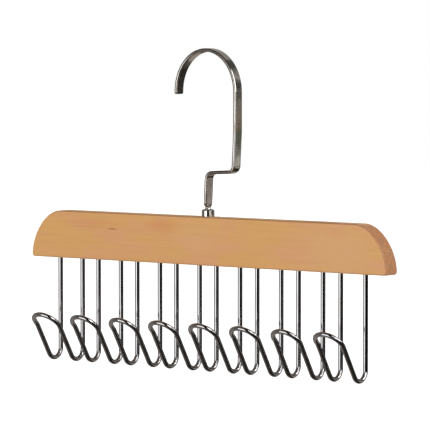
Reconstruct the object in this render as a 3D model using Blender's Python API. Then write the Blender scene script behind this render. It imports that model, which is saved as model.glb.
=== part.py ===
"""Delicates hanger: a wooden bar with a row of looped wire hooks under a flat swivel hook.

Metres, +Z up. +X runs along the bar, and -Y is the side that the wire loops lean out to.
The origin is where a rod touches the underside of the swivel hook's arc.
The hook hangs on the rod. The bar, the ferrule and the wire hooks turn under it about Z.
"""

import math

import bmesh
import bpy
from mathutils import Vector

MM = 0.001
DOWN = Vector((0, -1))  # in (x, z)

# Wooden bar
BAR_LENGTH = 305.0 * MM
BAR_HEIGHT = 33.0 * MM
BAR_THICKNESS = 13.0 * MM
END_CURVE_LENGTH = 25.0 * MM  # how far in from the end the top starts to drop
END_CURVE_POWER = 1.78  # 2 would be a quarter ellipse, less is a little straighter
LOWER_CORNER_RADIUS = 2.0 * MM
EDGE_RADIUS = 1.0 * MM  # on the rims of the front and back faces

# Wire hooks
HOOK_COUNT = 8
END_TO_FIRST_HOOK = 31.05 * MM  # from the bar's end to the middle of the outermost hook
WIRE_DIAMETER = 3.3 * MM
LOOP_INSIDE_WIDTH = 16.9 * MM  # clear width between the two legs, and inside the arch
LEG_DROP = 63.6 * MM  # from the bar's underside to the centre of the lower bend
TROUGH_INSIDE_RADIUS = 5.05 * MM  # inside the lower bend, where a strap lies
LIMB_LEAN = math.radians(31.0)  # of the front limbs, from upright
LIMB_LENGTH = 24.0 * MM  # straight part of a front limb
ARCH_LEAN = math.radians(48.5)  # of the arch that joins the limbs, from upright
ARCH_BEND_RADIUS = 8.0 * MM  # where a limb bends forward into the arch
WIRE_HOLE_DEPTH = 14.5 * MM

# Swivel hook, bent from flat strip
STRIP_WIDTH = 8.0 * MM
STRIP_THICKNESS = 2.4 * MM
STRIP_EDGE_RADIUS = 0.65 * MM  # the slit edges are rolled well round
EDGE_LIMIT = 0.45  # most that a rolled edge takes of the strip's thickness
ARC_INSIDE_WIDTH = 48.1 * MM  # between the tip and the long upright
ARC_INSIDE_RISE = 27.3 * MM  # height of the curved part, inside
TIP_LENGTH = 1.7 * MM  # straight end past the arc
UPRIGHT_LENGTH = 26.5 * MM  # upper, plumb stretch of the long upright
LEANING_LENGTH = 27.0 * MM  # its lower stretch, which leans inwards
BEND_TILT = math.radians(3.0)  # the two lower bends stay this much open
LEAN_RADIUS = 60.0 * MM
OFFSET_BEND_RADIUS = 4.5 * MM  # of the two lower bends, at mid thickness
SHORT_UPRIGHT = 19.9 * MM
SHOULDER_LENGTH = 3.0 * MM  # where the strip narrows to the round neck

# Round neck and stem, ferrule and washer
STEM_DIAMETER = 4.2 * MM
NECK_LENGTH = 2.0 * MM  # bare neck between the ferrule and the shoulder
COLLAR_HEIGHT = 4.7 * MM
COLLAR_LIP = 0.55 * MM  # how far the collar reaches over the wood round its bore
COLLAR_CHAMFER = 0.8 * MM
FERRULE_WALL = 0.8 * MM
SHANK_LENGTH = 11.0 * MM
BARB_COUNT = 4
BARB_DEPTH = 0.35 * MM
WASHER_THICKNESS = 0.8 * MM
HEAD_HEIGHT = 1.6 * MM
HEAD_CHAMFER = 0.5 * MM
HEAD_LIP = 0.8 * MM  # how far the formed head stands out past the washer's hole

# Clearances
SEAT_GAP = 0.3 * MM  # between pieces that touch
BORE_END_ROOM = 0.6 * MM  # under the stem's head
PAST_MOUTH = 5.0 * MM  # how far a cutter reaches out of its hole

# Steps of the round shapes
WIRE_SIDE_STEPS = 3  # gives ten sides
LOWER_BEND_STEPS = 8
ARCH_BEND_STEPS = 2
HALF_ARCH_STEPS = 6
ARC_STEPS = 28
OFFSET_BEND_STEPS = 6
END_CURVE_STEPS = 12
CORNER_STEPS = 3
RIM_STEPS = 2
RIM_ANGLE = math.radians(60)  # only the rims are sharper than this
HOLE_SIDES = 16
TURNED_SIDES = 24
EDGE_STEPS = 3  # on each rounded edge of the strip
SHOULDER_STEPS = 5
LEAN_STEPS = 2
SHARP_ANGLE = math.radians(35)

# Places of the strip, as (x, z) at mid thickness, from the arc down
TILTED = Vector((math.sin(BEND_TILT), math.cos(BEND_TILT)))
UPRIGHT_X = (ARC_INSIDE_WIDTH + STRIP_THICKNESS) / 2
ARC_SPRING = -ARC_INSIDE_RISE
LEAN_TOP = Vector((UPRIGHT_X, ARC_SPRING - UPRIGHT_LENGTH))
OUTER_CORNER = LEAN_TOP - LEANING_LENGTH * TILTED
OFFSET_RUN = OUTER_CORNER.x - SHORT_UPRIGHT * TILTED.x
INNER_CORNER = OUTER_CORNER - Vector((OFFSET_RUN, OFFSET_RUN * math.tan(BEND_TILT)))
SHOULDER_TOP = Vector((0, (INNER_CORNER - SHORT_UPRIGHT * TILTED).y))

# Heights of the neck, the ferrule and the bar
NECK_TOP = SHOULDER_TOP.y - SHOULDER_LENGTH
COLLAR_TOP = NECK_TOP - NECK_LENGTH
COLLAR_BASE = COLLAR_TOP - COLLAR_HEIGHT
BAR_TOP = COLLAR_BASE - SEAT_GAP
BAR_BOTTOM = BAR_TOP - BAR_HEIGHT
SHANK_END = COLLAR_BASE - SHANK_LENGTH
WASHER_TOP = SHANK_END - SEAT_GAP
WASHER_END = WASHER_TOP - WASHER_THICKNESS
HEAD_TOP = WASHER_END - SEAT_GAP
STEM_END = HEAD_TOP - HEAD_HEIGHT
BORE_END = STEM_END - BORE_END_ROOM

# Radii from the stem outwards
STEM_RADIUS = STEM_DIAMETER / 2
FERRULE_BORE = STEM_RADIUS + SEAT_GAP
HEAD_RADIUS = FERRULE_BORE + HEAD_LIP
SHANK_CORE = FERRULE_BORE + FERRULE_WALL
BARB_RADIUS = SHANK_CORE + BARB_DEPTH
WOOD_BORE = BARB_RADIUS + SEAT_GAP
COLLAR_RADIUS = WOOD_BORE + COLLAR_LIP

# Places of the wire hooks
WIRE_RADIUS = WIRE_DIAMETER / 2
WIRE_HOLE_RADIUS = WIRE_RADIUS + SEAT_GAP
WIRE_HOLE_END = BAR_BOTTOM + WIRE_HOLE_DEPTH
LEG_X = (LOOP_INSIDE_WIDTH + WIRE_DIAMETER) / 2
HOOK_PITCH = (BAR_LENGTH - 2 * END_TO_FIRST_HOOK) / (HOOK_COUNT - 1)
HOOK_X = [(i - (HOOK_COUNT - 1) / 2) * HOOK_PITCH for i in range(HOOK_COUNT)]


def start_empty():
    for obj in list(bpy.data.objects):
        bpy.data.objects.remove(obj)


def material(name, colour, roughness, metallic):
    made = bpy.data.materials.new(name)
    made.use_nodes = True
    shader = made.node_tree.nodes["Principled BSDF"]
    shader.inputs["Base Color"].default_value = (*colour, 1.0)
    shader.inputs["Roughness"].default_value = roughness
    shader.inputs["Metallic"].default_value = metallic
    return made


def add_object(name, data, finish):
    obj = bpy.data.objects.new(name, data)
    data.materials.clear()
    data.materials.append(finish)
    bpy.context.scene.collection.objects.link(obj)
    return obj


def mesh_from(bm, name):
    """Closes a bmesh into a mesh with its faces out and its round faces smooth."""
    bmesh.ops.recalc_face_normals(bm, faces=bm.faces)
    mesh = bpy.data.meshes.new(name)
    bm.to_mesh(mesh)
    bm.free()
    mesh.shade_smooth()
    mesh.set_sharp_from_angle(angle=SHARP_ANGLE)
    return mesh


def arc(centre, radius, start, end, steps):
    """Points on a flat arc, both ends counted, as (across, up) pairs."""
    angles = [start + (end - start) * i / steps for i in range(steps + 1)]
    return [(centre[0] + radius * math.cos(a), centre[1] + radius * math.sin(a)) for a in angles]


def bar_half_outline():
    """Right half of the bar's front outline, from the lower corner up to the start of the flat top."""
    end = BAR_LENGTH / 2
    corner = (end - LOWER_CORNER_RADIUS, BAR_BOTTOM + LOWER_CORNER_RADIUS)
    points = arc(corner, LOWER_CORNER_RADIUS, -math.pi / 2, 0, CORNER_STEPS)
    rise = BAR_HEIGHT - LOWER_CORNER_RADIUS
    for i in range(1, END_CURVE_STEPS + 1):
        turn = math.pi / 2 * i / END_CURVE_STEPS
        across = math.cos(turn) ** (2 / END_CURVE_POWER)
        up = math.sin(turn) ** (2 / END_CURVE_POWER)
        points.append((end - END_CURVE_LENGTH * (1 - across), corner[1] + rise * up))
    return points


def drill(bm, x, mouth, end, radius):
    """A cutting cylinder between a hole's end and a point past its mouth."""
    depth = abs(mouth - end)
    made = bmesh.ops.create_cone(
        bm, cap_ends=True, segments=HOLE_SIDES, radius1=radius, radius2=radius, depth=depth
    )
    bmesh.ops.translate(bm, verts=made["verts"], vec=(x, 0, (mouth + end) / 2))


def bar_cutter():
    """All the holes of the bar in one hidden object: two for each wire hook, one for the ferrule."""
    bm = bmesh.new()
    for hook_x in HOOK_X:
        for leg_x in (hook_x - LEG_X, hook_x + LEG_X):
            drill(bm, leg_x, BAR_BOTTOM - PAST_MOUTH, WIRE_HOLE_END, WIRE_HOLE_RADIUS)
    drill(bm, 0, BAR_TOP + PAST_MOUTH, BORE_END, WOOD_BORE)
    cutter = add_object("bar_holes", mesh_from(bm, "bar_holes"), material("cutter", (1, 0, 0), 0.5, 0))
    cutter.hide_render = True
    cutter.display_type = "WIRE"
    return cutter


def wooden_bar(finish):
    right = bar_half_outline()
    outline = right + [(-x, z) for x, z in reversed(right)]
    bm = bmesh.new()
    front = bm.faces.new([bm.verts.new((x, -BAR_THICKNESS / 2, z)) for x, z in outline])
    grown = bmesh.ops.extrude_face_region(bm, geom=[front])
    moved = [v for v in grown["geom"] if isinstance(v, bmesh.types.BMVert)]
    bmesh.ops.translate(bm, verts=moved, vec=(0, BAR_THICKNESS, 0))
    obj = add_object("wooden_bar", mesh_from(bm, "wooden_bar"), finish)
    rims = obj.modifiers.new("eased rims", "BEVEL")
    rims.width = EDGE_RADIUS
    rims.segments = RIM_STEPS
    rims.limit_method = "ANGLE"
    rims.angle_limit = RIM_ANGLE
    holes = obj.modifiers.new("holes", "BOOLEAN")
    holes.operation = "DIFFERENCE"
    holes.solver = "EXACT"
    holes.object = bar_cutter()


def wire_half():
    """Centreline of half a wire hook, from the end of its leg to the top of its arch.

    Across is 0 in the hook's middle, and up is 0 at the bar's underside.
    """
    leg_end = WIRE_HOLE_DEPTH - SEAT_GAP
    radius = TROUGH_INSIDE_RADIUS + WIRE_RADIUS
    side = arc((-radius, -LEG_DROP), radius, 0, LIMB_LEAN - math.pi, LOWER_BEND_STEPS)
    limb_top = Vector(side[-1]) + Vector((-math.sin(LIMB_LEAN), math.cos(LIMB_LEAN))) * LIMB_LENGTH
    centre = limb_top - Vector((math.cos(LIMB_LEAN), math.sin(LIMB_LEAN))) * ARCH_BEND_RADIUS
    side += arc(centre, ARCH_BEND_RADIUS, LIMB_LEAN, ARCH_LEAN, ARCH_BEND_STEPS)
    points = [Vector((LEG_X, 0, leg_end))]
    points += [Vector((LEG_X, y, z)) for y, z in side]
    along = Vector((0, -math.sin(ARCH_LEAN), math.cos(ARCH_LEAN)))
    middle = Vector((0, points[-1].y, points[-1].z))
    for i in range(1, HALF_ARCH_STEPS + 1):
        turn = math.pi / 2 * i / HALF_ARCH_STEPS
        points.append(middle + Vector((LEG_X * math.cos(turn), 0, 0)) + along * LEG_X * math.sin(turn))
    return points


def wire_curve():
    half = wire_half()
    other = [Vector((-p.x, p.y, p.z)) for p in reversed(half[:-1])]
    points = half + other
    curve = bpy.data.curves.new("wire_hook", "CURVE")
    curve.dimensions = "3D"
    curve.bevel_depth = WIRE_RADIUS
    curve.bevel_resolution = WIRE_SIDE_STEPS
    curve.use_fill_caps = True
    spline = curve.splines.new("POLY")
    spline.points.add(len(points) - 1)
    for point, place in zip(spline.points, points):
        point.co = (*place, 1)
    return curve


def wire_hooks(finish):
    curve = wire_curve()
    for i, x in enumerate(HOOK_X):
        hook = add_object(f"wire_hook_{i + 1}", curve, finish)
        hook.location = (x, 0, BAR_BOTTOM)


def rounded(before, corner, after, radius, steps):
    """Points of the arc that rounds one corner of a flat path."""
    back = (before - corner).normalized()
    on = (after - corner).normalized()
    half = back.angle(on) / 2
    centre = corner + (back + on).normalized() * radius / math.sin(half)
    start = corner + back * radius / math.tan(half) - centre
    end = corner + on * radius / math.tan(half) - centre
    turn = start.angle(end)
    points = []
    for i in range(steps + 1):
        near = math.sin(turn * (1 - i / steps)) / math.sin(turn)
        far = math.sin(turn * i / steps) / math.sin(turn)
        points.append(centre + start * near + end * far)
    return points


def strip_path():
    """Mid-thickness line of the strip, as (x, z), from its tip to the top of its shoulder."""
    rise = ARC_INSIDE_RISE + STRIP_THICKNESS / 2
    points = [Vector((-UPRIGHT_X, ARC_SPRING - TIP_LENGTH))]
    for i in range(ARC_STEPS + 1):
        turn = math.pi * i / ARC_STEPS
        points.append(Vector((-UPRIGHT_X * math.cos(turn), ARC_SPRING + rise * math.sin(turn))))
    points += rounded(points[-1], LEAN_TOP, OUTER_CORNER, LEAN_RADIUS, LEAN_STEPS)
    points += rounded(LEAN_TOP, OUTER_CORNER, INNER_CORNER, OFFSET_BEND_RADIUS, OFFSET_BEND_STEPS)
    points += rounded(OUTER_CORNER, INNER_CORNER, SHOULDER_TOP, OFFSET_BEND_RADIUS, OFFSET_BEND_STEPS)
    return points + [SHOULDER_TOP]


def strip_section():
    """The strip's section as (across its width, through its thickness) pairs."""
    radius = min(STRIP_EDGE_RADIUS, EDGE_LIMIT * STRIP_THICKNESS)
    side = STRIP_WIDTH / 2 - radius
    face = STRIP_THICKNESS / 2 - radius
    quarter = math.pi / 2
    section = []
    for k, (across, through) in enumerate(((1, 1), (-1, 1), (-1, -1), (1, -1))):
        centre = (side * across, face * through)
        section += arc(centre, radius, quarter * k, quarter * (k + 1), EDGE_STEPS)
    return section


def round_section(radius, count):
    angles = [math.tau * (i + 0.5) / count for i in range(count)]
    return [(radius * math.cos(a), radius * math.sin(a)) for a in angles]


def ring(section, place, direction):
    """Corners of a section set square to the path's direction, its width along Y."""
    through = Vector((-direction.y, direction.x))
    corners = []
    for across, off in section:
        middle = place + through * off
        corners.append((middle.x, across, middle.y))
    return corners


def strip_rings(flat):
    path = strip_path()
    rings = []
    for i, place in enumerate(path):
        ahead = path[i + 1] - place if i + 1 < len(path) else DOWN
        behind = place - path[i - 1] if i else ahead
        rings.append(ring(flat, place, (ahead.normalized() + behind.normalized()).normalized()))
    return rings


def shoulder_rings(flat):
    """The strip's section drawn in to the round neck, faster as it goes down."""
    neck = round_section(STEM_RADIUS, len(flat))
    rings = []
    for i in range(1, SHOULDER_STEPS + 1):
        turn = math.pi / 2 * i / SHOULDER_STEPS
        mixed = [Vector(n).lerp(Vector(f), math.cos(turn)) for f, n in zip(flat, neck)]
        rings.append(ring(mixed, SHOULDER_TOP + DOWN * SHOULDER_LENGTH * math.sin(turn), DOWN))
    return rings


def head_rings(count):
    """The foot of the stem, its formed head and the head's chamfer."""
    steps = (
        (HEAD_TOP, STEM_RADIUS),
        (HEAD_TOP, HEAD_RADIUS),
        (STEM_END + HEAD_CHAMFER, HEAD_RADIUS),
        (STEM_END, HEAD_RADIUS - HEAD_CHAMFER),
    )
    return [ring(round_section(radius, count), Vector((0, z)), DOWN) for z, radius in steps]


def swivel_hook(finish):
    flat = strip_section()
    rings = strip_rings(flat) + shoulder_rings(flat) + head_rings(len(flat))
    bm = bmesh.new()
    loops = [[bm.verts.new(corner) for corner in corners] for corners in rings]
    for loop, following in zip(loops, loops[1:]):
        for k in range(len(flat)):
            bm.faces.new((loop[k - 1], loop[k], following[k], following[k - 1]))
    bm.faces.new(loops[0])
    bm.faces.new(loops[-1])
    add_object("swivel_hook", mesh_from(bm, "swivel_hook"), finish)


def turned(name, profile, finish):
    """A piece turned about the Z axis, from a closed profile of (radius, z) points."""
    bm = bmesh.new()
    verts = [bm.verts.new((radius, 0, z)) for radius, z in profile]
    edges = [bm.edges.new((verts[i - 1], verts[i])) for i in range(len(verts))]
    bmesh.ops.spin(
        bm, geom=verts + edges, axis=(0, 0, 1), angle=math.tau, steps=TURNED_SIDES, use_merge=True
    )
    add_object(name, mesh_from(bm, name), finish)


def hook_ferrule(finish):
    profile = [
        (FERRULE_BORE, SHANK_END),
        (FERRULE_BORE, COLLAR_TOP),
        (COLLAR_RADIUS - COLLAR_CHAMFER, COLLAR_TOP),
        (COLLAR_RADIUS, COLLAR_TOP - COLLAR_CHAMFER),
        (COLLAR_RADIUS, COLLAR_BASE),
        (SHANK_CORE, COLLAR_BASE),
    ]
    barb_pitch = SHANK_LENGTH / (BARB_COUNT + 1)
    for i in range(BARB_COUNT):
        top = COLLAR_BASE - barb_pitch * (i + 0.5)
        profile += [(SHANK_CORE, top), (BARB_RADIUS, top), (SHANK_CORE, top - barb_pitch / 2)]
    profile.append((SHANK_CORE, SHANK_END))
    turned("hook_ferrule", profile, finish)


def stem_washer(finish):
    profile = [
        (FERRULE_BORE, WASHER_END),
        (FERRULE_BORE, WASHER_TOP),
        (SHANK_CORE, WASHER_TOP),
        (SHANK_CORE, WASHER_END),
    ]
    turned("stem_washer", profile, finish)


def main():
    start_empty()
    wooden_bar(material("lacquered wood", (0.63, 0.35, 0.145), 0.35, 0.0))
    wire_hooks(material("plated wire", (0.56, 0.55, 0.53), 0.12, 1.0))
    swivel_hook(material("plated strip", (0.54, 0.53, 0.51), 0.16, 1.0))
    hook_ferrule(material("plated ferrule", (0.6, 0.59, 0.58), 0.12, 1.0))
    stem_washer(material("zinc-plated washer", (0.5, 0.52, 0.55), 0.35, 1.0))


main()
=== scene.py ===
import math

import bmesh
import bpy
from mathutils import Matrix, Vector


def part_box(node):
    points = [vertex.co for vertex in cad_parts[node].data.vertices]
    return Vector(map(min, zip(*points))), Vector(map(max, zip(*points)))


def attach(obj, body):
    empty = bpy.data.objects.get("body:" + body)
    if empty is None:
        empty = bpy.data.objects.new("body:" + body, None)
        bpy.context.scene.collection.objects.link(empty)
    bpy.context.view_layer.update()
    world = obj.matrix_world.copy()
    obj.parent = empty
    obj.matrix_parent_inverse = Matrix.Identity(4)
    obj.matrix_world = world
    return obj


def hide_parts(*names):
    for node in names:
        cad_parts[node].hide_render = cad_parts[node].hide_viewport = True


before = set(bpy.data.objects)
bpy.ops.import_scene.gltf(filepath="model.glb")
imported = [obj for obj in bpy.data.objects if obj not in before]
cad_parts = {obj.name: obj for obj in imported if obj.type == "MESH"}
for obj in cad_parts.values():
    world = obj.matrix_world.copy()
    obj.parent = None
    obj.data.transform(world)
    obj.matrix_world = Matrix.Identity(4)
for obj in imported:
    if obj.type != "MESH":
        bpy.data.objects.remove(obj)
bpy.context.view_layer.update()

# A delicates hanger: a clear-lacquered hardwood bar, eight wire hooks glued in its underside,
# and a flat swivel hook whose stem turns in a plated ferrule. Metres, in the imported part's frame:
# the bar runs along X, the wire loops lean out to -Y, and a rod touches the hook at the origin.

MM = 0.001
DOWN = Vector((0, -1))  # in (x, z)
CREASE_ANGLE = math.radians(32.0)  # an edge that turns more than this stays crisp

# Wooden bar
BAR_LOW, BAR_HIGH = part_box("wooden_bar")
END_CURVE_LENGTH = 25.0 * MM
END_CURVE_POWER = 1.78
LOWER_CORNER_RADIUS = 2.0 * MM
RIM_RADIUS = 1.0 * MM
RIM_ANGLE = math.radians(60.0)  # the rims turn more than this, the steps of the outline less
END_CURVE_STEPS = 56
RIM_STEPS = 5

# Figure of the wood, in millimetres
HEART_Y = 62.0  # the tree's heart lay behind and under the bar
HEART_Z = -196.0
RING_WIDTH = 3.4
RING_WANDER = 4.0
WOOD_GRAINS = (  # the size of one grain along, through and up the bar, and how finely it breaks up
    ("drift", (26, 12, 10), 3.0),
    ("wander", (150, 30, 24), 2.0),
    ("ring depth", (45, 9, 5), 2.0),
    ("coarse fibre", (34, 1.2, 1.2), 3.0),
    ("fine fibre", (12, 0.3, 0.3), 2.0),
    ("pore groups", (30, 5, 5), 2.0),
    ("end dots", (3, 1.3, 1.3), 3.0),
    ("end blotches", (20, 5, 4), 2.0),
)
PORES_PER_MM = (0.22, 1.8, 1.8)  # along, through and up the bar
WOOD_MARKS = (  # soft ovals on the front: middle (x, z), half length, half height, colour and strength
    (-34, -119, 22, 7, "#CE864D", 0.5),  # warmer drifts
    (112, -119, 14, 6, "#CE864D", 0.4),
    (-95, -119, 40, 5, "#CE864D", 0.25),
    (112, -130, 44, 26, "#D3A06F", 0.6),  # pinker drifts
    (-6, -126, 28, 18, "#D3A06F", 0.45),
    (-104, -122.2, 32, 0.9, "#8F5F2C", 0.2),  # a faint line that runs to a small dark fleck
    (-79, -122.9, 6.0, 1.2, "#8A5426", 0.5),
)
MARK_DEPTH = 5.0  # how far a mark reaches into the wood

# Plating, in millimetres along, across and through the stock
HANDLING_PATCH = (13.0, 6.0, 6.0)
ROLLED_WAVE = (15.0, 9.0, 9.0)
WAVE_HEIGHT = 0.5 * MM
WAVE_FULL = 2.8  # from the middle of the strip's width: its faces wave, its rounded edges don't
WAVE_GONE = 3.4
DULL_AT = 149.0  # from the tip: the middle of the level run between the two lower bends
DULL_HALF = 6.0
DULL_FADE = 3.0

# Wire hooks
HOOK_COUNT = 8
WIRE_RADIUS = 1.65 * MM
LEG_X = 10.1 * MM
LEG_DROP = 63.52 * MM  # a smooth bend reaches a little lower than the plain solid's
BEND_RADIUS = 6.7 * MM  # at the wire's middle
LIMB_LEAN = math.radians(31.0)
LIMB_LENGTH = 24.0 * MM
ARCH_LEAN = math.radians(48.5)
ARCH_BEND_RADIUS = 8.0 * MM
WIRE_END_CHAMFER = 0.3 * MM
WIRE_SIDES = 32
BEND_STEPS = 28
ARCH_BEND_STEPS = 6
HALF_ARCH_STEPS = 24
HOOK_X = [sum(corner.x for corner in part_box(f"wire_hook_{i + 1}")) / 2 for i in range(HOOK_COUNT)]

# Swivel hook, bent from flat strip
STRIP_WIDTH = 8.0 * MM
STRIP_THICKNESS = 2.4 * MM
STRIP_EDGE_RADIUS = 1.05 * MM
TIP_CHAMFER = 0.25 * MM
TIP_CORNER_RADIUS = 1.3 * MM
UPRIGHT_X = 25.25 * MM
ARC_SPRING = -27.3 * MM
ARC_RISE = 28.5 * MM  # at mid thickness
TIP_LENGTH = 1.7 * MM
UPRIGHT_LENGTH = 26.5 * MM
LEANING_LENGTH = 27.0 * MM
BEND_TILT = math.radians(3.0)
LEAN_RADIUS = 60.0 * MM
OFFSET_BEND_RADIUS = 4.5 * MM
SHORT_UPRIGHT = 19.9 * MM
SHOULDER_LENGTH = 3.0 * MM
STRIP_EDGE_STEPS = 6
TIP_STEPS = 6
ARC_STEPS = 96
OFFSET_BEND_STEPS = 20
SHOULDER_STEPS = 14

# Stem, with its turned neck and formed head
HOOK_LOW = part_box("swivel_hook")[0]
STEM_RADIUS = 2.1 * MM
WAIST_RADIUS = 1.8 * MM  # the neck's narrowest place, just under the shoulder
NECK_PROFILE = (  # how far under the shoulder, and the radius there
    (0.25 * MM, (STEM_RADIUS + WAIST_RADIUS) / 2),
    (0.6 * MM, WAIST_RADIUS),
    (1.1 * MM, WAIST_RADIUS + 0.05 * MM),
    (1.6 * MM, STEM_RADIUS - 0.05 * MM),
    (2.0 * MM, STEM_RADIUS),
)
HEAD_RADIUS = 3.2 * MM
HEAD_HEIGHT = 1.6 * MM
HEAD_CHAMFER = 0.5 * MM
HEAD_FILLET = 0.3 * MM  # where the stem runs out into its head

# Ferrule and washer
FERRULE_LOW, FERRULE_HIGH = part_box("hook_ferrule")
WASHER_LOW, WASHER_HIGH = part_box("stem_washer")
FERRULE_BORE = 2.4 * MM
SHANK_CORE = 3.2 * MM
BARB_COUNT = 4
BARB_RADIUS = 3.55 * MM
COLLAR_RADIUS = 4.4 * MM
COLLAR_HEIGHT = 4.7 * MM
COLLAR_CHAMFER = 0.8 * MM
TURNED_EDGE = 0.08 * MM
CHAMFER_EDGE = 0.22 * MM  # the chamfer's edges are worn softer by plating and polishing
WASHER_EDGE = 0.12 * MM
TURNED_SIDES = 72
EASE_STEPS = 4

# Holes in the bar
WIRE_HOLE_DEPTH = 14.5 * MM
WIRE_HOLE_RADIUS = 1.95 * MM
WIRE_HOLE_FLARE = 0.15 * MM
WIRE_HOLE_SIDES = 28
WIRE_END_GAP = 0.3 * MM  # between a leg's end and the end of its hole
WOOD_BORE = 3.85 * MM
BORE_END_ROOM = 0.6 * MM
BORE_FLARE = 0.1 * MM
BORE_SIDES = 48
DRILL_PAST = 5.0 * MM  # how far each hole's cutter stands out of the wood

# Camera, fitted to the photograph: its bearing round the bar and its height in degrees, and its place
CAMERA_AZIMUTH = 38.0
CAMERA_ELEVATION = 3.351
CAMERA_DISTANCE = 2.4
CAMERA_ASIDE = 4.72 * MM
CAMERA_RAISED = 34.055 * MM
CAMERA_LENS = 295.77  # mm, on a 36 mm sensor
CAMERA_CLIP = (0.1, 100.0)

# Studio
FLOOR_DROP = 3.5
FLOOR_HALF = 60.0  # half of its side
FLOOR_LIFT = 0.5  # the floor's own light, for the camera and what mirrors it
AMBIENT = 0.9
KEY_BEARING = -28  # degrees
KEY_HEIGHT = 34  # degrees above the bar's lower edge
KEY_DISTANCE = 2.3
KEY_SIZE = 1.4
KEY_POWER = 12
BLACK = "#0E0E0E"
WHITE = "#FFFFFF"
CARD_DISTANCE = 1.5
CARD_GAP = 0.02  # cards that overlap stand this far apart
CARD_STEP = 6  # degrees
BAR_MIDDLE = (0, 0, BAR_LOW.z)  # at its lower edge

# The near cards: how far they stand from which place on the hook
BY_COLLAR = {"away": 0.28, "middle": (0, 0, FERRULE_HIGH.z)}
BY_SHORT_UPRIGHT = {"away": 0.14, "middle": (0, 0, -88.0 * MM)}
BY_LONG_UPRIGHT = {"away": 0.12, "middle": (UPRIGHT_X, 0, -54.0 * MM)}
BY_OUTER_BEND = {"away": 0.17, "middle": (UPRIGHT_X, 0, -79.0 * MM)}
BY_TIP = {"away": 0.13, "middle": (-UPRIGHT_X, 0, ARC_SPRING)}

# Shades of the two screens that the flat strip mirrors as bands, from the low edge to the high one
SIDE_SHADES = (
    (0.0, "#1A1817"), (0.06, "#3A3836"), (0.12, "#BDBAB2"), (0.2, "#B4B1A9"), (0.26, "#80827B"),
    (0.31, "#55554F"), (0.35, "#8C8178"), (0.43, "#8F857C"), (0.48, "#77726C"), (0.52, "#4C4A47"),
    (0.61, "#474643"), (0.66, "#6C6B67"), (0.72, "#B2B0AA"), (0.78, "#95938D"), (0.83, "#7E7F79"),
    (0.88, "#51524E"), (1.0, "#51524E"),
)
LONG_UPRIGHT_SHADES = (
    (0.0, "#464132"), (0.05, "#57524A"), (0.1, "#89857A"), (0.145, "#D4D0C8"), (0.19, "#ACABA5"),
    (0.25, "#8E8D87"), (0.31, "#797A76"), (0.37, "#6D6E68"), (0.43, "#747C6E"), (0.52, "#747969"),
    (0.56, "#8C7E73"), (0.7, "#8C7D72"), (0.73, "#857D73"), (0.77, "#87827C"), (0.8, "#84807A"),
    (0.84, "#5A5955"), (1.0, "#6E6D68"),
)

# Names and settings that repeat in the materials
STOCK_PLACE = "stock_place"  # where a point lies along, across and through its wire or strip, in mm
BLEND = {"output": 2, "data_type": "RGBA"}  # a Mix node that mixes colours
UNDER = 6  # its first colour
OVER = 7  # its second colour, laid over the first
SMOOTH = {"interpolation_type": "SMOOTHSTEP"}  # a Map Range node that starts and ends softly


def linear(code):
    """A colour written as an sRGB hex value, as linear red, green, blue and alpha."""
    parts = [int(code[i : i + 2], 16) / 255 for i in (1, 3, 5)]
    return (*[c / 12.92 if c <= 0.04045 else ((c + 0.055) / 1.055) ** 2.4 for c in parts], 1.0)


def add(tree, kind, inputs=(), output=0, **settings):
    """Adds a shader node with its settings and links, and gives one of its outputs.

    Inputs are pairs of a socket, by name or number, and what it gets: a plain value or another
    node's output. A Map Range node takes a value in 0, its own range in 1 and 2 and the new one in 3
    and 4. A Mix node takes its share in 0.
    """
    made = tree.nodes.new("ShaderNode" + kind)
    for name, value in settings.items():
        setattr(made, name, value)
    for socket, value in dict(inputs).items():
        if isinstance(value, bpy.types.NodeSocket):
            tree.links.new(value, made.inputs[socket])
        else:
            made.inputs[socket].default_value = value
    return made.outputs[output] if made.outputs else None


def finish_named(name):
    """An empty material and its node tree."""
    made = bpy.data.materials.new(name)
    made.use_nodes = True
    made.node_tree.nodes.clear()
    return made, made.node_tree


def soft_grain(tree, place, size, detail=2.0):
    """A pattern of soft grains of a real size, given in millimetres along each axis."""
    spot = add(tree, "VectorMath", {0: place, 1: [1 / s for s in size]}, operation="MULTIPLY")
    return add(tree, "TexNoise", {"Vector": spot, "Scale": 1.0, "Detail": detail})


def growth_rings(tree, place, wander):
    """Dark late wood at the end of each year, cut nearly level by the front and in arcs by the ends."""
    shift = {0: place, 1: (0, 1, 1), 2: (0, -HEART_Y, -HEART_Z)}
    from_heart = add(tree, "VectorMath", shift, operation="MULTIPLY_ADD")
    reach = add(tree, "VectorMath", {0: from_heart}, "Value", operation="LENGTH")
    bent = add(tree, "Math", {0: wander, 1: RING_WANDER, 2: reach}, operation="MULTIPLY_ADD")
    count = add(tree, "Math", {0: bent, 1: RING_WIDTH}, operation="DIVIDE")
    ring = add(tree, "Math", {0: count}, operation="FRACT")
    late = add(tree, "MapRange", {0: ring, 1: 0.5, 2: 0.95}, **SMOOTH)
    ends = add(tree, "MapRange", {0: ring, 1: 0.95, 2: 1.0, 3: 1.0, 4: 0.0}, **SMOOTH)
    return add(tree, "Math", {0: late, 1: ends}, operation="MULTIPLY")


def wood_fibres(tree, grain):
    """Fibres along the bar, most of them a millimetre wide, because real ones are too fine to show."""
    coarse = add(tree, "Math", {0: grain["coarse fibre"], 1: 0.65}, operation="MULTIPLY")
    return add(tree, "Math", {0: grain["fine fibre"], 1: 0.35, 2: coarse}, operation="MULTIPLY_ADD")


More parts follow.
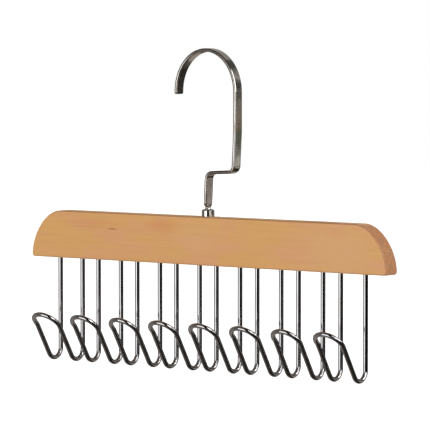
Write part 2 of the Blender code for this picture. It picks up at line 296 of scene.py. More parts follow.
def wood_pores(tree, place, groups):
    """Short dashes in loose groups, drawn coarser than real pores so that they show."""
    spot = add(tree, "VectorMath", {0: place, 1: PORES_PER_MM}, operation="MULTIPLY")
    cell = add(tree, "TexVoronoi", {"Vector": spot, "Scale": 1.0}, "Distance")
    dash = add(tree, "MapRange", {0: cell, 1: 0.1, 2: 0.26, 3: 0.2, 4: 0.0}, **SMOOTH)
    group = add(tree, "MapRange", {0: groups, 1: 0.48, 2: 0.66})
    return add(tree, "Math", {0: dash, 1: group}, operation="MULTIPLY")


def with_marks(tree, place, colour):
    """The wood's colour with its drifts, faint line and fleck laid over it."""
    for x, z, long, high, tone, strength in WOOD_MARKS:
        share = (1 / long, 1 / MARK_DEPTH, 1 / high)
        middle = (-x / long, -BAR_LOW.y / MM / MARK_DEPTH, -z / high)
        off = add(tree, "VectorMath", {0: place, 1: share, 2: middle}, operation="MULTIPLY_ADD")
        reach = add(tree, "VectorMath", {0: off}, "Value", operation="LENGTH")
        mark = add(tree, "MapRange", {0: reach, 1: 0.15, 2: 1.0, 3: strength, 4: 0.0}, **SMOOTH)
        colour = add(tree, "Mix", {0: mark, UNDER: colour, OVER: linear(tone)}, **BLEND)
    return colour


def painted_rim_shade(tree, facing_y, facing_z):
    """Painted shade on the eased rims, and most on the upper ones, which get little light and mirror dark
    surroundings.

    The front and back face Y fully and every side not at all, so only the rims lie between.
    """
    square = add(tree, "Math", {0: facing_y, 1: facing_y}, operation="MULTIPLY")
    rest = add(tree, "Math", {0: 1.0, 1: square}, operation="SUBTRACT")
    between = add(tree, "Math", {0: square, 1: rest}, operation="MULTIPLY")
    rim = add(tree, "MapRange", {0: between, 1: 0.0, 2: 0.16}, **SMOOTH)
    upper = add(tree, "MapRange", {0: facing_z, 1: 0.0, 2: 0.5, 3: 0.2, 4: 0.8}, **SMOOTH)
    return add(tree, "Math", {0: rim, 1: upper}, operation="MULTIPLY")


def end_grain_and_painted_shade(tree, grain, rings):
    """Cut ends drink the lacquer: redder, and mottled where the pores are cut across.
    Their darker tone is partly end grain and partly painted shade, for ends turned from the light.

    The mottling is drawn coarser than real pores so that it shows.
    """
    dots = add(tree, "MapRange", {0: grain["end dots"], 1: 0.35, 2: 0.65}, **SMOOTH)
    colour = add(tree, "Mix", {0: dots, UNDER: linear("#B67C51"), OVER: linear("#CA8F60")}, **BLEND)
    blotch = add(tree, "MapRange", {0: grain["end blotches"], 1: 0.42, 2: 0.64, 3: 0.0, 4: 0.75}, **SMOOTH)
    colour = add(tree, "Mix", {0: blotch, UNDER: colour, OVER: linear("#CD874F")}, **BLEND)
    arcs = add(tree, "Math", {0: rings, 1: 0.25}, operation="MULTIPLY")
    return add(tree, "Mix", {0: arcs, UNDER: colour, OVER: linear("#A56F4A")}, **BLEND)


def clear_lacquered_hardwood():
    """Light fine-pored hardwood, planed and sanded, under a clear satin lacquer.

    The eye gets a smooth honey ground with a slow drift from yellow to pink, very faint level growth
    lines and fibres, a small dark fleck, painted shade on the rims, most on the upper ones, and redder,
    mottled end grain where it soaks in, darkened further by painted shade for ends turned from the light.
    """
    finish, tree = finish_named("clear-lacquered hardwood")
    metres = add(tree, "TexCoord", output="Object")
    place = add(tree, "VectorMath", {0: metres, "Scale": 1 / MM}, operation="SCALE")
    grain = {name: soft_grain(tree, place, size, detail) for name, size, detail in WOOD_GRAINS}

    drift = add(tree, "MapRange", {0: grain["drift"], 1: 0.36, 2: 0.64}, **SMOOTH)
    colour = add(tree, "Mix", {0: drift, UNDER: linear("#D29D5C"), OVER: linear("#D39966")}, **BLEND)

    rings = growth_rings(tree, place, grain["wander"])
    depth = add(tree, "MapRange", {0: grain["ring depth"], 1: 0.35, 2: 0.7, 3: 0.03, 4: 0.15}, **SMOOTH)
    shown = add(tree, "Math", {0: rings, 1: depth}, operation="MULTIPLY")
    colour = add(tree, "Mix", {0: shown, UNDER: colour, OVER: linear("#B07B45")}, **BLEND)

    fibre = wood_fibres(tree, grain)
    shade = add(tree, "MapRange", {0: fibre, 1: 0.3, 2: 0.7, 3: 0.96, 4: 1.03})
    grey = add(tree, "CombineColor", {0: shade, 1: shade, 2: shade})
    colour = add(tree, "Mix", {0: 1.0, UNDER: colour, OVER: grey}, **BLEND, blend_type="MULTIPLY")

    pore = wood_pores(tree, place, grain["pore groups"])
    colour = add(tree, "Mix", {0: pore, UNDER: colour, OVER: linear("#8A5C30")}, **BLEND)
    colour = with_marks(tree, place, colour)

    normal = add(tree, "TexCoord", output="Normal")
    facing_x, facing_y, facing_z = [add(tree, "SeparateXYZ", {0: normal}, axis) for axis in "XYZ"]
    # painted shade on the rims, darkest on the upper ones
    rim_shade = painted_rim_shade(tree, facing_y, facing_z)
    colour = add(tree, "Mix", {0: rim_shade, UNDER: colour, OVER: linear("#8E6340")}, **BLEND)

    # end grain, darkened also by painted shade for the ends turned from the light
    end = end_grain_and_painted_shade(tree, grain, rings)
    sideways = add(tree, "Math", {0: facing_x}, operation="ABSOLUTE")
    cut = add(tree, "MapRange", {0: sideways, 1: 0.08, 2: 0.5}, **SMOOTH)
    colour = add(tree, "Mix", {0: cut, UNDER: colour, OVER: end}, **BLEND)

    relief = add(tree, "Math", {0: fibre, 1: pore}, operation="SUBTRACT")
    bump = add(tree, "Bump", {"Height": relief, "Strength": 0.1, "Distance": 0.05 * MM})
    gloss = add(tree, "MapRange", {0: fibre, 1: 0.3, 2: 0.7, 3: 0.4, 4: 0.5})
    shader = add(tree, "BsdfPrincipled", {
        "Base Color": colour,
        "Roughness": gloss,
        "Normal": bump,
        "IOR": 1.5,
        "Coat Weight": 0.35,
        "Coat Roughness": 0.2,
        "Coat IOR": 1.5,
    })
    add(tree, "OutputMaterial", {"Surface": shader})
    return finish


def rolled_wave(tree, stock, bump):
    """The strip's rolled faces wave a little, which bends what they mirror. Its edges stay true."""
    slow = soft_grain(tree, stock, ROLLED_WAVE)
    across = add(tree, "SeparateXYZ", {0: stock}, "Y")
    off = add(tree, "Math", {0: across}, operation="ABSOLUTE")
    faces = add(tree, "MapRange", {0: off, 1: WAVE_FULL, 2: WAVE_GONE, 3: 1.0, 4: 0.0}, **SMOOTH)
    return add(tree, "Bump", {"Height": slow, "Strength": faces, "Distance": WAVE_HEIGHT, "Normal": bump})


def dull_stretch(tree, stock):
    """A stretch of the level run whose plating is darker and duller."""
    along = add(tree, "SeparateXYZ", {0: stock}, "X")
    off = add(tree, "Math", {0: along, 1: DULL_AT}, operation="SUBTRACT")
    away = add(tree, "Math", {0: off}, operation="ABSOLUTE")
    return add(tree, "MapRange", {0: away, 1: DULL_HALF, 2: DULL_HALF + DULL_FADE, 3: 0.8, 4: 0.0}, **SMOOTH)


def plated_steel(name, tone, worn_tone, roughness, lines, relief=0.04, rolled=False):
    """Plated steel, with the lines that the die, the rolls or the lathe left under the plating.

    Its lines are given by their size along, across and through the stock. Real ones are far finer,
    and these are as coarse as they need to be to show. Handling leaves soft, slightly darker patches.
    """
    finish, tree = finish_named(name)
    stock = add(tree, "Attribute", output="Vector", attribute_name=STOCK_PLACE)
    drawn = soft_grain(tree, stock, lines)
    patches = soft_grain(tree, stock, HANDLING_PATCH)
    worn = add(tree, "MapRange", {0: patches, 1: 0.38, 2: 0.66}, **SMOOTH)
    colour = add(tree, "Mix", {0: worn, UNDER: linear(tone), OVER: linear(worn_tone)}, **BLEND)
    both = add(tree, "Math", {0: drawn, 1: patches}, operation="ADD")
    gloss = add(tree, "MapRange", {0: both, 1: 0.75, 2: 1.3, 3: roughness * 0.85, 4: roughness * 1.25})
    bump = add(tree, "Bump", {"Height": drawn, "Strength": relief, "Distance": 0.01 * MM})
    if rolled:
        bump = rolled_wave(tree, stock, bump)
        # a darker and duller stretch of the level run
        dulled = dull_stretch(tree, stock)
        colour = add(tree, "Mix", {0: dulled, UNDER: colour, OVER: linear("#8D8781")}, **BLEND)
        gloss = add(tree, "Math", {0: dulled, 1: 0.2, 2: gloss}, operation="MULTIPLY_ADD")
    shader = add(tree, "BsdfPrincipled", {
        "Base Color": colour,
        "Metallic": 1.0,
        "Roughness": gloss,
        "Normal": bump,
    })
    add(tree, "OutputMaterial", {"Surface": shader})
    return finish


def bright_plated_wire():
    """Drawn steel wire under bright nickel and chrome: clear dark mirroring and faint long lines."""
    return plated_steel("bright-plated drawn wire", "#C6C5C7", "#BBB9B9", 0.05, (60.0, 1.2, 1.2), 0.012)


def bright_plated_strip():
    """Rolled steel strip under bright nickel and chrome: softer mirroring, waved and fine-lined."""
    lines = (40.0, 0.7, 0.7)
    return plated_steel("bright-plated rolled strip", "#D2CEC9", "#B8B1A9", 0.14, lines, 0.03, rolled=True)


def bright_plated_turned_steel():
    """Steel turned on a lathe, then bright-plated: a clear mirror with fine lines round it."""
    return plated_steel("bright-plated turned steel", "#D8D5D2", "#CCC9C5", 0.05, (0.4, 8.0, 8.0))


def zinc_plated_steel():
    """Stamped steel under dull bluish zinc, which mirrors only light and dark."""
    return plated_steel("zinc-plated steel", "#B9BDC2", "#A8ADB4", 0.32, (3.0, 3.0, 3.0))


def placed(name, data):
    """A new object in the scene."""
    made = bpy.data.objects.new(name, data)
    bpy.context.scene.collection.objects.link(made)
    return made


def show(name, mesh, body, node):
    """Puts a finished piece on its body, in the place of the plain solid."""
    piece = placed(name, mesh)
    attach(piece, body)
    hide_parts(node)
    return piece


def even_normals(piece):
    """Keeps the flat faces flat where they meet rounded edges."""
    weighted = piece.modifiers.new("flat faces", "WEIGHTED_NORMAL")
    weighted.keep_sharp = True


def smoothed(mesh):
    """Smooth shading everywhere but at the creases."""
    mesh.shade_smooth()
    mesh.set_sharp_from_angle(angle=CREASE_ANGLE)
    return mesh


def outward_mesh(bm, mesh):
    """Turns the faces of what bmesh holds outwards and puts it in a mesh."""
    bmesh.ops.recalc_face_normals(bm, faces=bm.faces)
    bm.to_mesh(mesh)
    bm.free()
    return mesh


def turns_round(count, start=0.0):
    """Even angles round a circle, from a start given as a share of one step."""
    return [math.tau * (i + start) / count for i in range(count)]


def eased(corners, steps, closed=True):
    """A flat outline whose corners are rounded. Each corner is (place, radius)."""
    points = []
    last = len(corners) - 1
    for i, (corner, radius) in enumerate(corners):
        if radius == 0 or (not closed and i in (0, last)):
            points.append(corner)
            continue
        back = (corners[i - 1][0] - corner).normalized()
        on = (corners[(i + 1) % len(corners)][0] - corner).normalized()
        half = back.angle(on) / 2
        centre = corner + (back + on).normalized() * radius / math.sin(half)
        start = corner + back * radius / math.tan(half) - centre
        end = corner + on * radius / math.tan(half) - centre
        turn = start.angle(end)
        for k in range(steps + 1):
            near = math.sin(turn * (1 - k / steps)) / math.sin(turn)
            far = math.sin(turn * k / steps) / math.sin(turn)
            points.append(centre + start * near + end * far)
    return points


def skinned(name, rings, marks, looped=False):
    """A closed mesh over a row of rings, with each corner's place in its stock kept beside it."""
    count = len(rings[0])
    verts = [corner for ring in rings for corner in ring]
    faces = []
    for i in range(len(rings) if looped else len(rings) - 1):
        near, far = i * count, (i + 1) % len(rings) * count
        faces += [(near + k - 1, near + k, far + k, far + k - 1) for k in range(1, count)]
        faces.append((near + count - 1, near, far, far + count - 1))
    if not looped:
        faces += [tuple(range(count)), tuple(range(len(verts) - count, len(verts)))]
    mesh = bpy.data.meshes.new(name)
    mesh.from_pydata(verts, [], faces)
    place = mesh.attributes.new(STOCK_PLACE, "FLOAT_VECTOR", "POINT")
    place.data.foreach_set("vector", [c for ring in marks for mark in ring for c in mark])
    bm = bmesh.new()
    bm.from_mesh(mesh)
    return smoothed(outward_mesh(bm, mesh))


def bar_outline():
    """Front outline of the bar, round from the lower right corner."""
    end = BAR_HIGH.x
    corner = Vector((end - LOWER_CORNER_RADIUS, BAR_LOW.z + LOWER_CORNER_RADIUS))
    right = []
    for i in range(RIM_STEPS + 1):
        turn = math.pi / 2 * (i / RIM_STEPS - 1)
        right.append(corner + LOWER_CORNER_RADIUS * Vector((math.cos(turn), math.sin(turn))))
    rise = BAR_HIGH.z - corner.y
    for i in range(1, END_CURVE_STEPS + 1):
        turn = math.pi / 2 * i / END_CURVE_STEPS
        in_from_end = 1 - max(math.cos(turn), 0) ** (2 / END_CURVE_POWER)
        up = math.sin(turn) ** (2 / END_CURVE_POWER)
        right.append(Vector((end - END_CURVE_LENGTH * in_from_end, corner.y + rise * up)))
    return right + [Vector((-p.x, p.y)) for p in reversed(right)]


def drilled(mouth, end, radius, flare):
    """Profile of a hole with a softened mouth, as (radius, height) from its end outwards."""
    past = math.copysign(DRILL_PAST, mouth - end)
    back = math.copysign(flare, mouth - end)
    return [(radius, end), (radius, mouth - back), (radius + flare, mouth), (radius + flare, mouth + past)]


def bar_holes():
    """One cutter for all the holes: two for each wire hook and the ferrule's bore."""
    wire_hole = drilled(BAR_LOW.z, BAR_LOW.z + WIRE_HOLE_DEPTH, WIRE_HOLE_RADIUS, WIRE_HOLE_FLARE)
    bore = drilled(BAR_HIGH.z, HOOK_LOW.z - BORE_END_ROOM, WOOD_BORE, BORE_FLARE)
    holes = [(x + side * LEG_X, wire_hole, WIRE_HOLE_SIDES) for x in HOOK_X for side in (-1, 1)]
    holes.append((0, bore, BORE_SIDES))
    bm = bmesh.new()
    for x, profile, sides in holes:
        loops = []
        for radius, z in profile:
            ring = [(x + radius * math.cos(a), radius * math.sin(a), z) for a in turns_round(sides)]
            loops.append([bm.verts.new(corner) for corner in ring])
        for near, far in zip(loops, loops[1:]):
            for k in range(sides):
                bm.faces.new((near[k - 1], near[k], far[k], far[k - 1]))
        bm.faces.new(loops[0])
        bm.faces.new(loops[-1])
    return placed("bar_holes", outward_mesh(bm, bpy.data.meshes.new("bar holes")))


def lacquered_bar(finish):
    """The bar: its outline given the wood's thickness, its rims eased, and then drilled."""
    bm = bmesh.new()
    front = bm.faces.new([bm.verts.new((p.x, BAR_LOW.y, p.y)) for p in bar_outline()])
    grown = bmesh.ops.extrude_face_region(bm, geom=[front])
    moved = [v for v in grown["geom"] if isinstance(v, bmesh.types.BMVert)]
    bmesh.ops.translate(bm, verts=moved, vec=(0, BAR_HIGH.y - BAR_LOW.y, 0))
    blank = placed("bar_blank", outward_mesh(bm, bpy.data.meshes.new("bar blank")))
    rims = blank.modifiers.new("eased rims", "BEVEL")
    rims.width = RIM_RADIUS
    rims.segments = RIM_STEPS
    rims.limit_method = "ANGLE"
    rims.angle_limit = RIM_ANGLE
    holes = blank.modifiers.new("holes", "BOOLEAN")
    holes.operation = "DIFFERENCE"
    holes.solver = "EXACT"
    holes.object = bar_holes()
    mesh = bpy.data.meshes.new_from_object(blank.evaluated_get(bpy.context.evaluated_depsgraph_get()))
    mesh.name = "lacquered bar"
    bpy.data.objects.remove(holes.object)
    bpy.data.objects.remove(blank)
    mesh.materials.append(finish)
    even_normals(show("lacquered_bar", smoothed(mesh), "bar", "wooden_bar"))


def wire_line():
    """Middle line of a wire hook, as points from one leg's end to the other's."""
    top = WIRE_HOLE_DEPTH - WIRE_END_GAP
    half = [Vector((LEG_X, 0, top)), Vector((LEG_X, 0, 0))]
    for i in range(BEND_STEPS + 1):
        turn = (math.pi - LIMB_LEAN) * i / BEND_STEPS
        forward = BEND_RADIUS * (math.cos(turn) - 1)
        half.append(Vector((LEG_X, forward, -LEG_DROP - BEND_RADIUS * math.sin(turn))))
    limb_top = half[-1] + Vector((0, -math.sin(LIMB_LEAN), math.cos(LIMB_LEAN))) * LIMB_LENGTH
    centre = limb_top - Vector((0, math.cos(LIMB_LEAN), math.sin(LIMB_LEAN))) * ARCH_BEND_RADIUS
    for i in range(ARCH_BEND_STEPS + 1):
        lean = LIMB_LEAN + (ARCH_LEAN - LIMB_LEAN) * i / ARCH_BEND_STEPS
        half.append(centre + Vector((0, math.cos(lean), math.sin(lean))) * ARCH_BEND_RADIUS)
    along = Vector((0, -math.sin(ARCH_LEAN), math.cos(ARCH_LEAN)))
    middle = Vector((0, half[-1].y, half[-1].z))
    for i in range(1, HALF_ARCH_STEPS + 1):
        turn = math.pi / 2 * i / HALF_ARCH_STEPS
        half.append(middle + Vector((LEG_X * math.cos(turn), 0, 0)) + along * LEG_X * math.sin(turn))
    other = [Vector((-p.x, p.y, p.z)) for p in reversed(half[:-1])]
    return half + other


def wire_mesh():
    """One wire hook: round wire along its middle line, chamfered at its two cut ends."""
    line = wire_line()
    last = len(line) - 1
    rings, marks = [], []
    side = Vector((1, 0, 0))
    length = 0.0
    for i, place in enumerate(line):
        ahead = (line[min(i + 1, last)] - line[max(i - 1, 0)]).normalized()
        side = (side - ahead * side.dot(ahead)).normalized()
        over = ahead.cross(side)
        length += (place - line[i - 1]).length if i else 0
        stations = [(0, WIRE_RADIUS)]
        if i == 0:
            stations = [(0, WIRE_RADIUS - WIRE_END_CHAMFER), (WIRE_END_CHAMFER, WIRE_RADIUS)]
        if i == last:
            stations = [(-WIRE_END_CHAMFER, WIRE_RADIUS), (0, WIRE_RADIUS - WIRE_END_CHAMFER)]
        for on, radius in stations:
            circle = [(radius * math.cos(a), radius * math.sin(a)) for a in turns_round(WIRE_SIDES)]
            rings.append([place + ahead * on + side * a + over * b for a, b in circle])
            marks.append([((length + on) / MM, a / MM, b / MM) for a, b in circle])
    return skinned("plated wire hook", rings, marks)


def wire_hooks(finish):
    """The eight wire hooks, alike, each with its legs in its own pair of holes."""
    mesh = wire_mesh()
    mesh.materials.append(finish)
    for i, x in enumerate(HOOK_X):
        piece = show(f"plated_hook_{i + 1}", mesh, "bar", f"wire_hook_{i + 1}")
        piece.location = (x, 0, BAR_LOW.z)


def strip_line():
    """Mid-thickness line of the strip, as (x, z), from its tip to the top of its shoulder."""
    tilted = Vector((math.sin(BEND_TILT), math.cos(BEND_TILT)))
    lean_top = Vector((UPRIGHT_X, ARC_SPRING - UPRIGHT_LENGTH))
    outer = lean_top - LEANING_LENGTH * tilted
    run = outer.x - SHORT_UPRIGHT * tilted.x
    inner = outer - Vector((run, run * math.tan(BEND_TILT)))
    shoulder = Vector((0, (inner - SHORT_UPRIGHT * tilted).y))
    line = [Vector((-UPRIGHT_X, ARC_SPRING - TIP_LENGTH))]
    for i in range(ARC_STEPS + 1):
        turn = math.pi * i / ARC_STEPS
        line.append(Vector((-UPRIGHT_X * math.cos(turn), ARC_SPRING + ARC_RISE * math.sin(turn))))
    bends = [
        (line[-1], 0),
        (lean_top, LEAN_RADIUS),
        (outer, OFFSET_BEND_RADIUS),
        (inner, OFFSET_BEND_RADIUS),
        (shoulder, 0),
    ]
    return line + eased(bends, OFFSET_BEND_STEPS, closed=False)[1:]


def flat_section(narrower=0.0, thinner=0.0):
    """The strip's section as (across, through), drawn in on each side and each face."""
    side, face = STRIP_WIDTH / 2 - narrower, STRIP_THICKNESS / 2 - thinner
    radius = STRIP_EDGE_RADIUS - thinner
    corners = [(Vector((side * a, face * b)), radius) for a, b in ((1, 1), (-1, 1), (-1, -1), (1, -1))]
    return eased(corners, STRIP_EDGE_STEPS)


def round_section(radius):
    """A round section with as many corners as the flat one, matched to it."""
    turns = turns_round(len(flat_section()), 0.5)
    return [Vector((radius * math.cos(a), radius * math.sin(a))) for a in turns]


def tip_stations(tip):
    """The strip's first stations, rounded at the corners of its tip and chamfered round its end."""
    stations = []
    for i in range(TIP_STEPS + 1):
        turn = math.pi / 2 * i / TIP_STEPS
        on = TIP_CORNER_RADIUS * (1 - math.cos(turn))
        thinner = TIP_CHAMFER * max(0, 1 - on / TIP_CHAMFER)
        section = flat_section(TIP_CORNER_RADIUS * (1 - math.sin(turn)), thinner)
        stations.append((tip - DOWN * on, -DOWN, section))
    return stations


def stem_stations(shoulder):
    """The shoulder, drawn from flat to round, then the neck, the stem and its formed head."""
    stations = []
    neck, flat = round_section(STEM_RADIUS), flat_section()
    for i in range(1, SHOULDER_STEPS + 1):
        turn = math.pi / 2 * i / SHOULDER_STEPS
        section = [n.lerp(f, math.cos(turn)) for n, f in zip(neck, flat)]
        stations.append((shoulder + DOWN * SHOULDER_LENGTH * math.sin(turn), DOWN, section))
    neck_top = shoulder.y - SHOULDER_LENGTH
    head_top = HOOK_LOW.z + HEAD_HEIGHT
    rounds = [(neck_top - under, radius) for under, radius in NECK_PROFILE] + [
        (head_top + HEAD_FILLET, STEM_RADIUS),
        (head_top, STEM_RADIUS + HEAD_FILLET),
        (head_top, HEAD_RADIUS),
        (HOOK_LOW.z + HEAD_CHAMFER, HEAD_RADIUS),
        (HOOK_LOW.z, HEAD_RADIUS - HEAD_CHAMFER),
    ]
    return stations + [(Vector((0, z)), DOWN, round_section(radius)) for z, radius in rounds]


def swivel_stations():
    """The swivel hook as (place, direction, section) from its tip to the foot of its formed head."""
    line = strip_line()
    stations = tip_stations(line[0])
    flat = flat_section()
    for i in range(1, len(line)):
        ahead = line[i + 1] - line[i] if i + 1 < len(line) else DOWN
        behind = line[i] - line[i - 1]
        stations.append((line[i], (ahead.normalized() + behind.normalized()).normalized(), flat))
    return stations + stem_stations(line[-1])


def flat_hook(finish):
    """The swivel hook: one piece of strip, from its rounded tip to the head on its stem."""
    rings, marks = [], []
    length = 0.0
    before = None
    for place, direction, section in swivel_stations():
        length += (place - before).length if before else 0
        before = place
        through = Vector((-direction.y, direction.x))
        rings.append([(place.x + through.x * p.y, p.x, place.y + through.y * p.y) for p in section])
        marks.append([(length / MM, p.x / MM, p.y / MM) for p in section])
    mesh = skinned("flat swivel hook", rings, marks)
    mesh.materials.append(finish)
    even_normals(show("flat_hook", mesh, "hook", "swivel_hook"))


def turned(name, profile, finish):
    """A piece turned about the Z axis, from a closed profile of (radius, height) points."""
    turns = turns_round(TURNED_SIDES)
    rings = [[(r * math.cos(a), r * math.sin(a), z) for a in turns] for r, z in profile]
    marks = [[(z / MM, r * math.cos(a) / MM, r * math.sin(a) / MM) for a in turns] for r, z in profile]
    mesh = skinned(name, rings, marks, looped=True)
    mesh.materials.append(finish)
    return mesh


def hook_ferrule(finish):
    """The ferrule: a chamfered collar on the bar, and a barbed shank down in it."""
    low, high = FERRULE_LOW.z, FERRULE_HIGH.z
    seat = high - COLLAR_HEIGHT
    corners = [
        (FERRULE_BORE, low, TURNED_EDGE),
        (FERRULE_BORE, high, TURNED_EDGE),
        (COLLAR_RADIUS - COLLAR_CHAMFER, high, CHAMFER_EDGE),
        (COLLAR_RADIUS, high - COLLAR_CHAMFER, CHAMFER_EDGE),
        (COLLAR_RADIUS, seat, TURNED_EDGE),
        (SHANK_CORE, seat, 0),
    ]
    pitch = (seat - low) / (BARB_COUNT + 1)
    for i in range(BARB_COUNT):
        top = seat - pitch * (i + 0.5)
        corners += [(SHANK_CORE, top, 0), (BARB_RADIUS, top, 0), (SHANK_CORE, top - pitch / 2, 0)]
    corners.append((SHANK_CORE, low, TURNED_EDGE))
    profile = eased([(Vector((r, z)), radius) for r, z, radius in corners], EASE_STEPS)
    mesh = turned("turned ferrule", profile, finish)
    even_normals(show("turned_ferrule", mesh, "bar", "hook_ferrule"))


def stem_washer(finish):
    """The thin washer between the stem's head and the ferrule's shank."""
    low, high = WASHER_LOW.z, WASHER_HIGH.z
    corners = [(FERRULE_BORE, low), (FERRULE_BORE, high), (SHANK_CORE, high), (SHANK_CORE, low)]
    profile = eased([(Vector(corner), WASHER_EDGE) for corner in corners], EASE_STEPS)
    mesh = turned("steel washer", profile, finish)
    even_normals(show("steel_washer", mesh, "hook", "stem_washer"))


def towards(azimuth, elevation):
    """Unit vector from the hanger at a bearing, where 0 is -Y and 90 is +X, and a height, in degrees."""
    a, e = math.radians(azimuth), math.radians(elevation)
    return Vector((math.sin(a) * math.cos(e), -math.cos(a) * math.cos(e), math.sin(e)))


def photo_camera():
    """The camera at the photograph's viewing angle, moved aside and up to frame the hanger as it does."""
    back = towards(CAMERA_AZIMUTH, CAMERA_ELEVATION)
    right = towards(CAMERA_AZIMUTH + 90, 0)
    up = back.cross(right)
    place = CAMERA_ASIDE * right + CAMERA_RAISED * up + CAMERA_DISTANCE * back + Vector(BAR_MIDDLE)
    data = bpy.data.cameras.new("camera")
    data.lens = CAMERA_LENS
    data.clip_start, data.clip_end = CAMERA_CLIP
    camera = placed("camera", data)
    camera.matrix_world = Matrix.Translation(place) @ Matrix((right, up, back)).transposed().to_4x4()
    bpy.context.scene.camera = camera


def seen_directly(tree):
    """1 for what the camera sees, in itself or in metal and gloss, and 0 for scattered light."""
    rays = ("Is Camera Ray", "Is Glossy Ray", "Is Transmission Ray")
    camera, glossy, passed = [add(tree, "LightPath", output=ray) for ray in rays]
    either = add(tree, "Math", {0: camera, 1: glossy}, operation="MAXIMUM")
    return add(tree, "Math", {0: either, 1: passed}, operation="MAXIMUM")


def white_surroundings():
    """Even light from all round, which shows as plain white wherever it is seen directly."""
    world = bpy.data.worlds.new("white studio")
    bpy.context.scene.world = world
    world.use_nodes = True
    tree = world.node_tree
    tree.nodes.clear()
    strength = add(tree, "MapRange", {0: seen_directly(tree), 3: AMBIENT, 4: 1.0})
    white = add(tree, "Background", {"Color": linear(WHITE), "Strength": strength})
    add(tree, "OutputWorld", {"Surface": white})


def pale_floor():
    """A plain floor well under the hanging bar. It takes shadows, and its own light lifts it to white."""
    finish, tree = finish_named("matt white paper")
    paper = add(tree, "BsdfDiffuse", {"Color": linear("#F4F4F4")})
    strength = add(tree, "Math", {0: seen_directly(tree), 1: FLOOR_LIFT}, operation="MULTIPLY")
    lift = add(tree, "Emission", {"Color": linear(WHITE), "Strength": strength})
    both = add(tree, "AddShader", {0: paper, 1: lift})
    add(tree, "OutputMaterial", {"Surface": both})
    corners = [(FLOOR_HALF * x, FLOOR_HALF * y, 0) for x, y in ((-1, -1), (1, -1), (1, 1), (-1, 1))]
    mesh = bpy.data.meshes.new("floor")
    mesh.from_pydata(corners, [], [(0, 1, 2, 3)])
    mesh.materials.append(finish)
    floor = placed("floor", mesh)
    floor.location = (0, 0, -FLOOR_DROP)


def card_mesh(name, edges, away, middle):
    """A part of a sphere round a middle, with each corner's share of the way up kept beside it."""
    left, right, low, high = edges
    across = max(2, round(abs(right - left) / CARD_STEP))
    up = max(2, round(abs(high - low) / CARD_STEP))
    verts = []
    for j in range(up + 1):
        for i in range(across + 1):
            at = towards(left + (right - left) * i / across, low + (high - low) * j / up)
            verts.append(Vector(middle) + at * away)
    faces = []
    for j in range(up):
        for i in range(across):
            k = j * (across + 1) + i
            faces.append((k, k + 1, k + across + 2, k + across + 1))
    mesh = bpy.data.meshes.new(name)
    mesh.from_pydata(verts, [], faces)
    rise = mesh.attributes.new("rise", "FLOAT", "POINT")
    rise.data.foreach_set("value", [j / up for j in range(up + 1) for _ in range(across + 1)])
    return mesh


def card_glow(name, shades, strength):
    """The card's own light, shaded from its low edge to its high one, for mirroring and not as a lamp."""
    finish, tree = finish_named(name)
    share = add(tree, "Attribute", output="Fac", attribute_name="rise")
    shade = add(tree, "ValToRGB", {0: share})
    ramp = shade.node.color_ramp
    ramp.interpolation = "EASE"
    for i, (at, tone) in enumerate(shades):
        stop = ramp.elements[i] if i < 2 else ramp.elements.new(at)
        stop.position = at
        stop.color = linear(tone)
    glow = add(tree, "Emission", {"Color": shade, "Strength": strength})
    add(tree, "OutputMaterial", {"Surface": glow})
    finish.cycles.emission_sampling = "NONE"
    return finish


def card(name, edges, shades, strength=1.0, away=CARD_DISTANCE, middle=BAR_MIDDLE):
    """A curved studio card round the hanger, that only metal and lacquer mirror.

    Its edges are left and right bearings, then low and high angles, seen from the middle in degrees.
    It has one shade all over, or pairs of a place between 0, its low edge, and 1, and the shade there.
    """
    if isinstance(shades, str):
        shades = ((0, shades), (1, shades))
    mesh = card_mesh(name, edges, away, middle)
    mesh.materials.append(card_glow(name, shades, strength))
    made = placed(name, mesh)
    for kind in ("camera", "diffuse", "transmission", "volume_scatter", "shadow"):
        setattr(made, "visible_" + kind, False)


def cards_in_front():
    """A soft light at the left with grey screens about it, and black flags under a light at the right."""
    card("soft light", (-28, 15, -16, 11), WHITE, 2.05)
    card("left seam", (-62, -28, -30, 45), ((0, "#6F6B67"), (1, "#66625E")))
    card("left screen", (-142, -62, -30, 45), ((0, "#8A847E"), (1, "#7C7670")))
    card("over the light", (-28, 15, 11, 45), ((0, "#B4B0AB"), (0.7, "#ACA8A3"), (1, "#6A6662")))
    card("under the light", (-28, 15, -30, -16), "#8A8682")
    card("front flag", (15, 55, -30, 60), BLACK)
    card("low right flag", (55, 98, -30, 3), BLACK)
    card("right flag", (98, 136, -30, 6), ((0, "#262422"), (1, "#2A2826")))
    card("right light", (55, 128, 3, 45), WHITE, 2.8, away=CARD_DISTANCE + CARD_GAP)


def cards_under_and_over():
    """The table that the hanger hangs over, and the ceiling."""
    card("table at the left", (-180, -85, -90, -30), "#958F89")
    shades = ((0, "#403C39"), (0.35, "#4A4642"), (0.6, "#6E6A66"), (1, "#8A8682"))
    card("table in front", (-85, 22, -90, -30), shades)
    card("table at the right", (22, 180, -90, -30), ((0, "#3A3733"), (1, "#2A2725")))
    card("ceiling", (-180, 180, 45, 90), "#454240")


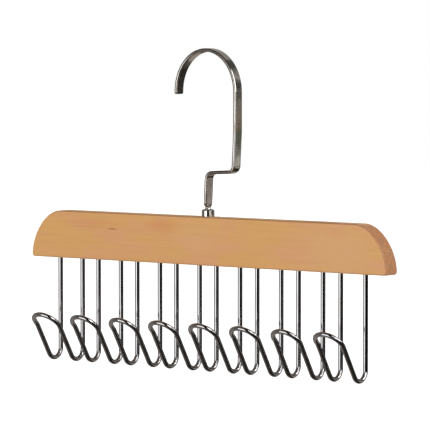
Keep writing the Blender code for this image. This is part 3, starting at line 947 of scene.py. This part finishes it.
def cards_behind():
    """Screens from the right round to the back, and a black flag before them."""
    card("side screen", (128, 178, -30, 46), SIDE_SHADES)
    shades = ((0, "#958F89"), (1, "#9A948E"))
    card("side screen, low", (147, 180, -38, -12), shades, away=CARD_DISTANCE - CARD_GAP)
    card("far flag", (152, 219, -12, 7), BLACK, away=CARD_DISTANCE - 3 * CARD_GAP)
    shades = ((0.0, "#A39C94"), (0.45, "#A39C94"), (0.6, "#B9B5AF"), (1.0, "#9B9792"))
    card("back screen", (178, 218, -60, 46), shades, away=CARD_DISTANCE - 2 * CARD_GAP)


def cards_near_the_hook():
    """Small cards close to the hook and the collar, each for one stretch of their plating."""
    card("collar card", (58, 98, -4.4, 14), WHITE, **BY_COLLAR)
    shades = ((0, "#B0A7A2"), (1, "#A39B97"))
    card("screen by the short upright", (120, 178, -10.8, 8), shades, **BY_SHORT_UPRIGHT)
    card("screen by its foot", (134, 156, -18, -10.8), "#B0A7A2", **BY_SHORT_UPRIGHT)
    card("screen by the long upright", (132, 153, -22, 15), LONG_UPRIGHT_SHADES, **BY_LONG_UPRIGHT)
    card("flag by the outer bend", (136, 184, -50, -14), "#2A2822", **BY_OUTER_BEND)
    card("tip flag", (136, 163, -38, 14), ((0, "#31302D"), (1, "#3E3D39")), **BY_TIP)
    card("tip flag, soft side", (163, 176, -38, 14), "#5C5854", **BY_TIP)


def key_lamp():
    """A square soft lamp at the upper left. The plating mirrors the soft light's card instead."""
    lamp = bpy.data.lights.new("key", "AREA")
    lamp.shape = "SQUARE"
    lamp.size = KEY_SIZE
    lamp.energy = KEY_POWER
    key = placed("key", lamp)
    aim = towards(KEY_BEARING, KEY_HEIGHT)
    key.location = aim * KEY_DISTANCE + Vector(BAR_MIDDLE)
    key.rotation_mode = "QUATERNION"
    key.rotation_quaternion = aim.to_track_quat("Z", "Y")
    key.visible_glossy = False


lacquered_bar(clear_lacquered_hardwood())
wire_hooks(bright_plated_wire())
flat_hook(bright_plated_strip())
hook_ferrule(bright_plated_turned_steel())
stem_washer(zinc_plated_steel())

white_surroundings()
pale_floor()
cards_in_front()
cards_under_and_over()
cards_behind()
cards_near_the_hook()
key_lamp()
photo_camera()
bpy.context.scene.view_settings.view_transform = "Standard"
